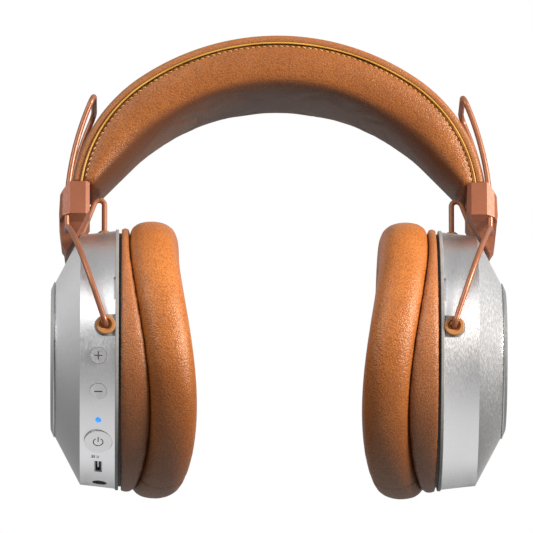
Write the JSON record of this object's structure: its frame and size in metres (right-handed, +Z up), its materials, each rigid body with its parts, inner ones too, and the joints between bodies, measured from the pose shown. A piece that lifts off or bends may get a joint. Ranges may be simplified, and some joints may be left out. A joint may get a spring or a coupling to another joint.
{
  "type": "over ear headphones",
  "caption": "Over ear headphones: padded leather band, wire yokes sliding in end blocks, tilting closed metal cups with thick angled pads and rim controls.",
  "frame": {"origin": "midway between the two cups, on their tilt axis height, where the centre of the head is", "axes": "+X is the wearer's right, +Y is forward, +Z is up towards the crown of the band"},
  "size_m": [0.1812, 0.111, 0.1844],
  "materials": {
    "spring_steel": "satin spring steel",
    "foam": "open-cell foam",
    "leather": "tan leather with a fine grain",
    "piping": "golden edge piping",
    "brown_paint": "copper-brown satin paint",
    "tan_plastic": "tan matte plastic",
    "brushed_aluminium": "brushed aluminium",
    "cap_aluminium": "spun aluminium",
    "ring_plastic": "blue-grey matte plastic",
    "black_plastic": "black matte plastic",
    "magnet_steel": "plated steel",
    "diaphragm_film": "thin clear film over a voice coil",
    "pad_leather": "tan leather with a fine grain, darker on the base",
    "screen_cloth": "black acoustic cloth",
    "cable_jacket": "brown cable jacket",
    "button_aluminium": "satin aluminium",
    "blue_lens": "lit blue lens",
    "switch_plastic": "flexible board with small switches",
    "circuit_board": "green solder mask",
    "socket_steel": "plated steel",
    "battery_wrap": "pouch cell wrap"
  },
  "bodies": {
    "headband": {"band_spring": "spring_steel", "band_foam": "foam", "band_cover": "leather", "band_pad": "leather", "band_piping": "piping", "left_block_inner": "brown_paint", "left_block_outer": "brown_paint", "left_block_screws": "spring_steel", "right_block_inner": "brown_paint", "right_block_outer": "brown_paint", "right_block_screws": "spring_steel"},
    "left_yoke": {"left_yoke": "brown_paint"},
    "right_yoke": {"right_yoke": "brown_paint"},
    "left_cup": {"left_bushes": "tan_plastic", "left_housing": "brushed_aluminium", "left_cap": "cap_aluminium", "left_ring": "ring_plastic", "left_baffle": "black_plastic", "left_screws": "spring_steel", "left_driver": "black_plastic", "left_magnet": "magnet_steel", "left_diaphragm": "diaphragm_film", "left_pad_base": "pad_leather", "left_ear_pad": "pad_leather", "left_screen": "screen_cloth", "left_cable": "cable_jacket", "left_grommet": "tan_plastic", "status_light": "blue_lens", "key_switches": "switch_plastic", "circuit_board": "circuit_board", "audio_socket": "black_plastic", "charge_socket": "socket_steel"},
    "right_cup": {"right_bushes": "tan_plastic", "right_housing": "brushed_aluminium", "right_cap": "cap_aluminium", "right_ring": "ring_plastic", "right_baffle": "black_plastic", "right_screws": "spring_steel", "right_driver": "black_plastic", "right_magnet": "magnet_steel", "right_diaphragm": "diaphragm_film", "right_pad_base": "pad_leather", "right_ear_pad": "pad_leather", "right_screen": "screen_cloth", "right_cable": "cable_jacket", "right_grommet": "tan_plastic", "battery": "battery_wrap"},
    "volume_up": {"plus_button": "button_aluminium"},
    "volume_down": {"minus_button": "button_aluminium"},
    "power": {"power_button": "button_aluminium"}
  },
  "joints": [
    {"name": "left_extend", "type": "hinge", "parent": "headband", "child": "left_yoke", "pos_m": [0.04042, 0, 0.0555], "axis": [0, -1, 0], "range_deg": [0, 12.5], "deforming": ["left_cable"]},
    {"name": "left_tilt", "type": "hinge", "parent": "left_yoke", "child": "left_cup", "pos_m": [-0.0687, 0, 0], "axis": [0, -1, 0], "range_deg": [-12, 1.5]},
    {"name": "right_extend", "type": "hinge", "parent": "headband", "child": "right_yoke", "pos_m": [-0.04042, 0, 0.0555], "axis": [0, 1, 0], "range_deg": [0, 12.5], "deforming": ["right_cable"]},
    {"name": "right_tilt", "type": "hinge", "parent": "right_yoke", "child": "right_cup", "pos_m": [0.0687, 0, 0], "axis": [0, 1, 0], "range_deg": [-12, 1.5]},
    {"name": "plus_press", "type": "slide", "parent": "left_cup", "child": "volume_up", "axis": [0, 0.972, 0.2351], "range_m": [0, 0.0005], "stiffness_N_per_m": 2000, "springref_m": -0.0002},
    {"name": "minus_press", "type": "slide", "parent": "left_cup", "child": "volume_down", "axis": [0, 0.8686, 0.4955], "range_m": [0, 0.0005], "stiffness_N_per_m": 2000, "springref_m": -0.0002},
    {"name": "power_press", "type": "slide", "parent": "left_cup", "child": "power", "axis": [0, 0.5736, 0.8192], "range_m": [0, 0.0005], "stiffness_N_per_m": 2000, "springref_m": -0.0002}
  ]
}
